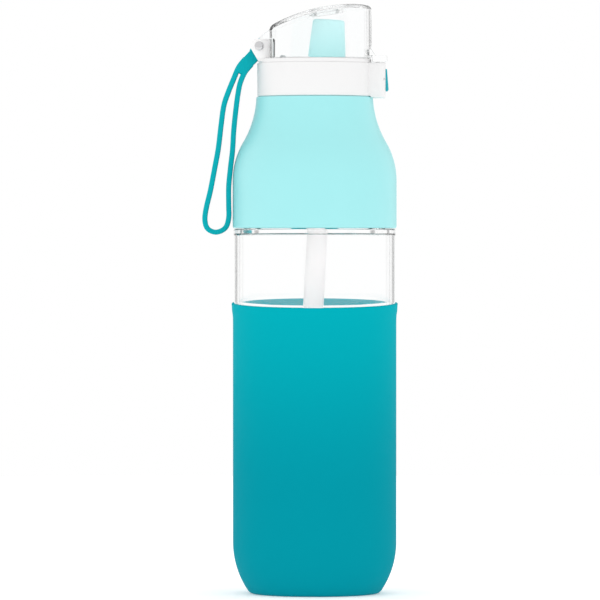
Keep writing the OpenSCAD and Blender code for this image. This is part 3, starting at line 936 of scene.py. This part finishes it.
smudge_group, given, out = new_group("handled", [("Size", 45), ("Amount", 0.5)], ["Mask"])
place = add_node(smudge_group, "ShaderNodeTexCoord", -700)
wide = add_node(smudge_group, "ShaderNodeTexNoise", -450, 150)
wide.inputs["Detail"].default_value = 5
wide.inputs["Distortion"].default_value = 0.6
clip = add_node(smudge_group, "ShaderNodeMapRange", -200, 150)
clip.inputs["From Min"].default_value = 0.52
clip.inputs["From Max"].default_value = 0.72
connect(smudge_group, (place, "Object", wide, "Vector"), (given, "Size", wide, "Scale"),
        (wide, "Fac", clip, "Value"), (given, "Amount", clip, "To Max"), (clip, "Result", out, "Mask"))

# The mask of the painted glow, emission that is painted light. Below the height `Above` only the inner
# side of the wall counts, so the radius is read this much larger.
WALL_INSET = 0.0011
painted_glow_group, given, out = new_group(
    "painted_glow_zone", [("Bright", 0.035), ("Dark", 0.0358), ("Above", -1), ("Deep", 10)], ["Mask"])
place = add_node(painted_glow_group, "ShaderNodeTexCoord", -900)
flat = add_node(painted_glow_group, "ShaderNodeVectorMath", -700, operation="MULTIPLY")
flat.inputs[1].default_value = (1, 1, 0)
reach = add_node(painted_glow_group, "ShaderNodeVectorMath", -500, operation="LENGTH")
spread = add_node(painted_glow_group, "ShaderNodeMapRange", -250)
spread.inputs["To Min"].default_value = 1
spread.inputs["To Max"].default_value = 0
connect(painted_glow_group, (place, "Object", flat, 0), (flat, "Vector", reach, 0),
        (given, "Bright", spread, "From Min"), (given, "Dark", spread, "From Max"))
rise = add_node(painted_glow_group, "ShaderNodeSeparateXYZ", -700, -300)
over = add_node(painted_glow_group, "ShaderNodeMath", -500, -300, operation="GREATER_THAN")
deep = add_node(painted_glow_group, "ShaderNodeMath", -500, -500, operation="GREATER_THAN")
either = add_node(painted_glow_group, "ShaderNodeMath", -300, -400, operation="MAXIMUM")
below = add_node(painted_glow_group, "ShaderNodeMath", -500, -150, operation="LESS_THAN")
inset = add_node(painted_glow_group, "ShaderNodeMath", -400, 0, operation="MULTIPLY_ADD")
inset.inputs[1].default_value = WALL_INSET
both = add_node(painted_glow_group, "ShaderNodeMath", -100, operation="MULTIPLY")
connect(painted_glow_group, (place, "Object", rise, "Vector"), (rise, "Z", over, 0), (given, "Above", over, 1),
        (spread, "Result", both, 0), (rise, "Z", deep, 0), (given, "Deep", deep, 1),
        (rise, "Z", below, 0), (given, "Above", below, 1), (below, "Value", inset, 0),
        (reach, "Value", inset, 2), (inset, "Value", spread, "Value"), (over, "Value", either, 0),
        (deep, "Value", either, 1), (either, "Value", both, 1), (both, "Value", out, "Mask"))


# %% A finish from a colour, a gloss and a grain
def place_group(material, group, **values):
    node = material.node_tree.nodes.new("ShaderNodeGroup")
    node.node_tree = group
    for key, value in values.items():
        node.inputs[key].default_value = value
    return node


def make_finish(name, colour, second, rough, grain=4000, depth=0.02, smudge=0.1, fade=None, glow=None,
                **sockets):
    """A Principled material: two tones over height or noise, gloss that wanders, and a fine grain.
    The glow is painted light, emission in the part's own tone: a strength, two radii, a lowest height,
    and below that how far down the inner wall glows too."""
    material = bpy.data.materials.new(name)
    material.use_nodes = True
    tree = material.node_tree
    shader = tree.nodes["Principled BSDF"]
    skin = place_group(material, skin_group, Grain=grain)
    touched = place_group(material, smudge_group, Amount=smudge)
    tone = add_node(tree, "ShaderNodeMix", data_type="RGBA")
    tone.inputs["A"].default_value = (*colour, 1)
    tone.inputs["B"].default_value = (*second, 1)
    if fade:
        height = place_group(material, fade_group, Low=fade[0], High=fade[1])
        connect(tree, (height, "Mask", tone, "Factor"))
    else:
        connect(tree, (skin, "Gloss", tone, "Factor"))
    connect(tree, (tone, "Result", shader, "Base Color"))
    gloss = add_node(tree, "ShaderNodeMapRange")
    gloss.inputs["To Min"].default_value = rough * 0.9
    gloss.inputs["To Max"].default_value = rough * 1.1
    connect(tree, (skin, "Gloss", gloss, "Value"))
    worn = add_node(tree, "ShaderNodeMath", operation="ADD", use_clamp=True)
    connect(tree, (gloss, "Result", worn, 0), (touched, "Mask", worn, 1),
            (worn, "Value", shader, "Roughness"))
    bump = add_node(tree, "ShaderNodeBump")
    bump.inputs["Strength"].default_value = 0.25
    bump.inputs["Distance"].default_value = depth * MM
    connect(tree, (skin, "Height", bump, "Height"), (bump, "Normal", shader, "Normal"))
    # Painted glow: emission in the part's own tone wherever the mask is one, painted light.
    if glow:
        strength, bright_r, dark_r, above, deep = glow
        glow_zone = place_group(material, painted_glow_group, Bright=bright_r, Dark=dark_r, Above=above, Deep=deep)
        lit = add_node(tree, "ShaderNodeMix", data_type="RGBA")
        lit.inputs["A"].default_value = (0, 0, 0, 1)
        connect(tree, (glow_zone, "Mask", lit, "Factor"), (tone, "Result", lit, "B"),
                (lit, "Result", shader, "Emission Color"))
        shader.inputs["Emission Strength"].default_value = strength
    for socket, value in sockets.items():
        shader.inputs[socket.replace("_", " ")].default_value = value
    return material


# %% [markdown]
# ## Finishes
# Silicone is matt and slightly waxy. The shoulder is satin plastic in a
# pale tone of the same colour. The lid is white plastic. The glass, the dome and the seal let light
# through; the straw scatters it. The sleeve's colour is darker towards the heel. The sleeve's lip, the
# spout, the straw and the hinge ears carry a painted glow, emission that is painted light.

# %% Finishes
LOOKS = {
    # The sleeve's lip and inner wall get a painted glow, emission that is painted light.
    "sleeve_silicone": dict(
        colour=(0.0, 0.291, 0.362), second=(0.0, 0.407, 0.472), rough=0.62, grain=3200, depth=0.03,
        smudge=0.06, fade=(0.04, 0.14), glow=(0.6, 0.0360, 0.0363, 0.1245, 0.025), IOR=1.3,
        Specular_IOR_Level=0.04),
    "strap_silicone": dict(
        colour=(0.0, 0.37, 0.42), second=(0.0, 0.42, 0.475), rough=0.55, grain=3200, depth=0.03,
        IOR=1.3, Specular_IOR_Level=0.2),
    "pastel_plastic": dict(
        colour=(0.340, 0.780, 0.795), second=(0.355, 0.790, 0.805), rough=0.38, grain=6000, depth=0.012,
        smudge=0.05),
    "white_plastic": dict(
        # The white plastic above the deck top, the hinge ears, gets a painted glow, emission that is
        # painted light.
        colour=(0.835, 0.83, 0.83), second=(0.855, 0.85, 0.85), rough=0.42, grain=6000, depth=0.008,
        smudge=0.05, glow=(0.1, 1, 2, 0.2353, 10), Specular_IOR_Level=0.3),
    "button_plastic": dict(
        colour=(0.0, 0.36, 0.43), second=(0.0, 0.40, 0.47), rough=0.34, grain=6000, depth=0.01),
    # The whole spout gets a painted glow, emission that is painted light.
    "spout_silicone": dict(
        colour=(0.50, 0.89, 0.90), second=(0.60, 0.94, 0.95), rough=0.45, depth=0.02,
        fade=(0.236, 0.253), glow=(0.3, 1, 2, -1, 10), Specular_IOR_Level=0.3),
    "seal_silicone": dict(
        colour=(0.78, 0.80, 0.80), second=(0.84, 0.85, 0.85), rough=0.5, depth=0.02),
    "clear_silicone": dict(
        colour=(0.96, 0.98, 0.98), second=(0.98, 0.99, 0.99), rough=0.12, depth=0.01, smudge=0.02,
        Transmission_Weight=1.0, IOR=1.41),
    # The whole straw gets a painted glow, emission that is painted light.
    "frosted_plastic": dict(
        colour=(0.91, 0.893, 0.893), second=(0.94, 0.923, 0.923), rough=0.42, grain=5000, depth=0.02,
        glow=(0.2, 1, 2, -1, 10), Transmission_Weight=0.6, IOR=1.45),
    "clear_glass": dict(
        colour=(0.996, 1.0, 1.0), second=(1.0, 1.0, 1.0), rough=0.004, grain=300, depth=0.004,
        smudge=0.012, Transmission_Weight=1.0, IOR=1.5),
    "clear_plastic": dict(
        colour=(0.99, 0.995, 0.995), second=(0.995, 1.0, 1.0), rough=0.01, grain=400, depth=0.004,
        smudge=0.02, Transmission_Weight=1.0, IOR=1.46),
    "pin_steel": dict(
        colour=(0.60, 0.60, 0.61), second=(0.66, 0.66, 0.67), rough=0.14, grain=5000, depth=0.006,
        Metallic=1.0),
    "spring_steel": dict(
        colour=(0.48, 0.48, 0.50), second=(0.56, 0.56, 0.57), rough=0.24, grain=5000, depth=0.01,
        Metallic=1.0),
}
FINISHES = {name: make_finish(name, **look) for name, look in LOOKS.items()}

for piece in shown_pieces():
    slot = piece.get("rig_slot")
    if slot in FINISHES:
        piece.data.materials.clear()
        piece.data.materials.append(FINISHES[slot])
print("finishes", len(FINISHES))

# %% [markdown]
# ## Room and light
# A pale floor, a white surrounding and large soft lights. Behind the bottle the surrounding has a soft
# grey strip on each side. Clear walls bend the light from there, so that their edges draw a thin line.
# The camera sees plain white, and matt surfaces are lit evenly. Light takes many turns through the
# dome's roof, so it is given enough bounces to come out again.

# %% Floor
deselect()
bpy.ops.mesh.primitive_circle_add(vertices=96, radius=1.3, fill_type="NGON", location=(0, 0, 0))
floor = bpy.context.object
floor.name = "studio_floor"
paper = bpy.data.materials.new("pale_floor")
paper.use_nodes = True
matt = paper.node_tree.nodes["Principled BSDF"]
matt.inputs["Base Color"].default_value = (0.93, 0.93, 0.93, 1)
matt.inputs["Roughness"].default_value = 0.9
matt.inputs["Emission Color"].default_value = (1, 1, 1, 1)
matt.inputs["Emission Strength"].default_value = 0.25
floor.data.materials.append(paper)

# %% Surrounding
SIDE_GREY = 0.36
STRIP = ((0.30, 0.36), (0.44, 0.52))
DIFFUSE_WHITE = 0.9
world = bpy.data.worlds.new("white_room")
world.use_nodes = True
bpy.context.scene.world = world
tree = world.node_tree
sky = tree.nodes["Background"]
toward = add_node(tree, "ShaderNodeTexCoord", -900)
parts = add_node(tree, "ShaderNodeSeparateXYZ", -700)
sideways = add_node(tree, "ShaderNodeMath", -500, operation="ABSOLUTE")
near = add_node(tree, "ShaderNodeMapRange", -300, 200, interpolation_type="SMOOTHSTEP")
near.inputs["From Min"].default_value, near.inputs["From Max"].default_value = STRIP[0]
far = add_node(tree, "ShaderNodeMapRange", -300, interpolation_type="SMOOTHSTEP")
far.inputs["From Min"].default_value, far.inputs["From Max"].default_value = STRIP[1]
strip = add_node(tree, "ShaderNodeMath", -100, 200, operation="SUBTRACT")
behind = add_node(tree, "ShaderNodeMath", -300, 400, operation="GREATER_THAN")
behind.inputs[1].default_value = 0
shade = add_node(tree, "ShaderNodeMath", 0, 200, operation="MULTIPLY")
edge = add_node(tree, "ShaderNodeMapRange", 100, 200)
edge.inputs["To Min"].default_value = 1.0
edge.inputs["To Max"].default_value = SIDE_GREY
path_of = add_node(tree, "ShaderNodeLightPath", -500, -300)
even = add_node(tree, "ShaderNodeMath", -300, -300, operation="MULTIPLY")
even.inputs[1].default_value = DIFFUSE_WHITE
plain = add_node(tree, "ShaderNodeMath", -100, -200, operation="MAXIMUM")
seen = add_node(tree, "ShaderNodeMath", 50, operation="MAXIMUM")
connect(tree, (toward, "Generated", parts, "Vector"), (parts, "X", sideways, 0),
        (parts, "Y", behind, 0), (sideways, "Value", near, "Value"), (sideways, "Value", far, "Value"),
        (near, "Result", strip, 0), (far, "Result", strip, 1), (strip, "Value", shade, 0),
        (behind, "Value", shade, 1), (shade, "Value", edge, "Value"), (edge, "Result", seen, 0),
        (path_of, "Is Diffuse Ray", even, 0), (even, "Value", plain, 0),
        (path_of, "Is Camera Ray", plain, 1), (plain, "Value", seen, 1), (seen, "Value", sky, "Color"))
sky.inputs["Strength"].default_value = 1.0


# %% Lights
def soft_light(name, place, size, watts):
    data = bpy.data.lights.new(name, "AREA")
    data.shape = "RECTANGLE"
    data.size, data.size_y = size
    data.energy = watts
    lamp = bpy.data.objects.new(name, data)
    bpy.context.scene.collection.objects.link(lamp)
    lamp.visible_glossy = lamp.visible_transmission = False
    lamp.location = place
    lamp.rotation_euler = (Vector((0, 0, 0.14)) - lamp.location).to_track_quat("-Z", "Y").to_euler()
    return lamp


soft_light("front_left", (-1.2, -1.6, 0.9), (0.9, 1.2), 1.6)
soft_light("front_right", (1.3, -1.5, 0.7), (0.8, 1.2), 0.8)
soft_light("overhead", (0, 0.2, 1.8), (1.2, 1.2), 1.0)

light_paths = bpy.context.scene.cycles
light_paths.max_bounces = 40
light_paths.transmission_bounces = 40
light_paths.glossy_bounces = 16
light_paths.diffuse_bounces = 8

view = bpy.context.scene.view_settings
view.view_transform = "Standard"
view.look = "None"
view.exposure = 0
view.gamma = 1
